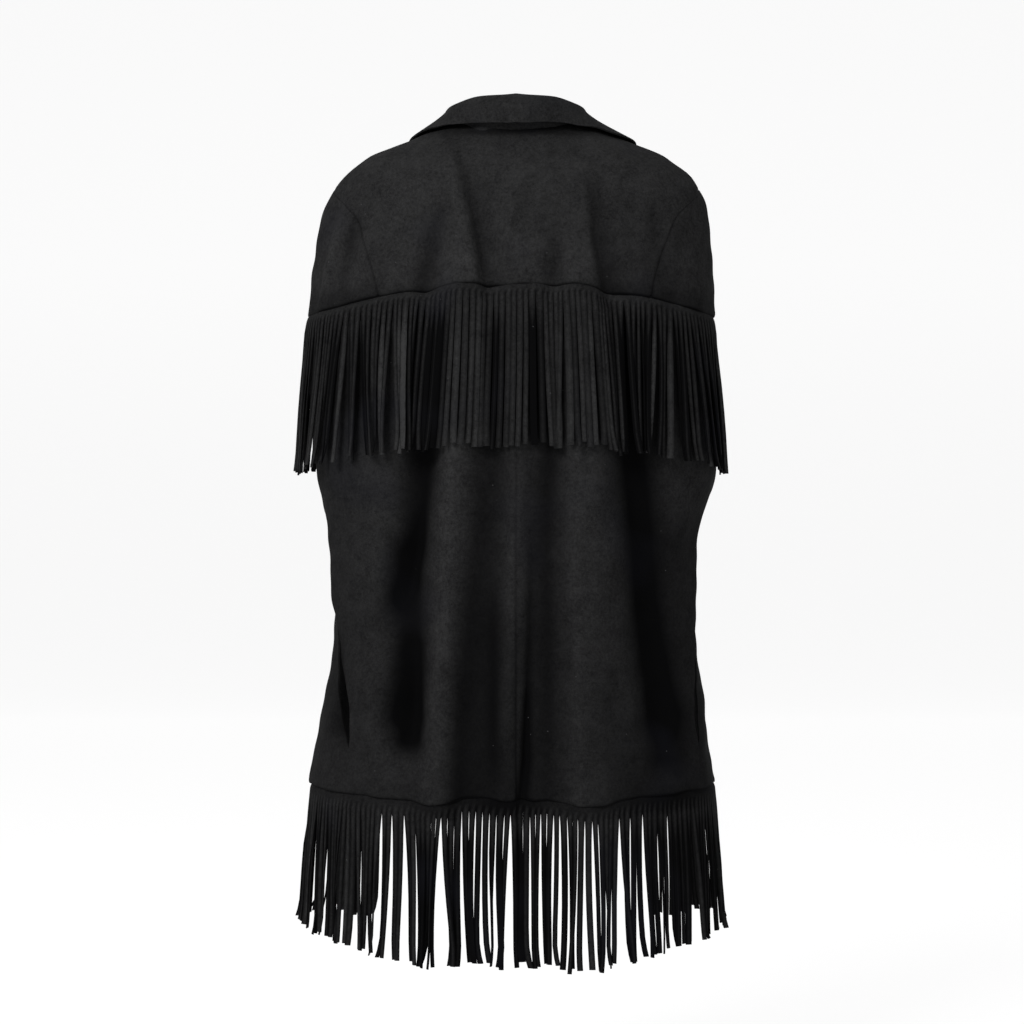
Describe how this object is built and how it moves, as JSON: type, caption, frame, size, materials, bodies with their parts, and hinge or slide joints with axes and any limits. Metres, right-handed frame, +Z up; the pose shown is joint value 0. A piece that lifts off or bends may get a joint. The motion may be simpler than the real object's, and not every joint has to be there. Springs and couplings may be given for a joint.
{
  "type": "leather cape",
  "caption": "Hip-length dark suede cape with a turn-down collar, arm openings, an open front, and long fringe under the yoke and at the hem, in the hollow shape of wear.",
  "frame": {"origin": "middle of the neck, level with the inner ends of the shoulder seams, where the wearer holds the cape up", "axes": "+Z up, -Y the wearer's back, which the picture shows, +Y the wearer's front, and +X the wearer's right"},
  "size_m": [0.4321, 0.2726, 0.8649],
  "materials": {
    "suede": "black suede with a short matt nap"
  },
  "bodies": {
    "root": {"back_yoke": "suede", "front_yoke_left": "suede", "front_yoke_right": "suede", "shoulder_cap_left": "suede", "shoulder_cap_right": "suede", "back_body_left": "suede", "back_body_right": "suede", "front_body_left": "suede", "front_body_right": "suede", "collar": "suede", "yoke_fringe_back": "suede", "yoke_fringe_left": "suede", "yoke_fringe_right": "suede", "yoke_fringe_front_left": "suede", "yoke_fringe_front_right": "suede", "hem_fringe_back_left": "suede", "hem_fringe_back_right": "suede", "hem_fringe_front_left": "suede", "hem_fringe_front_right": "suede"}
  },
  "joints": []
}
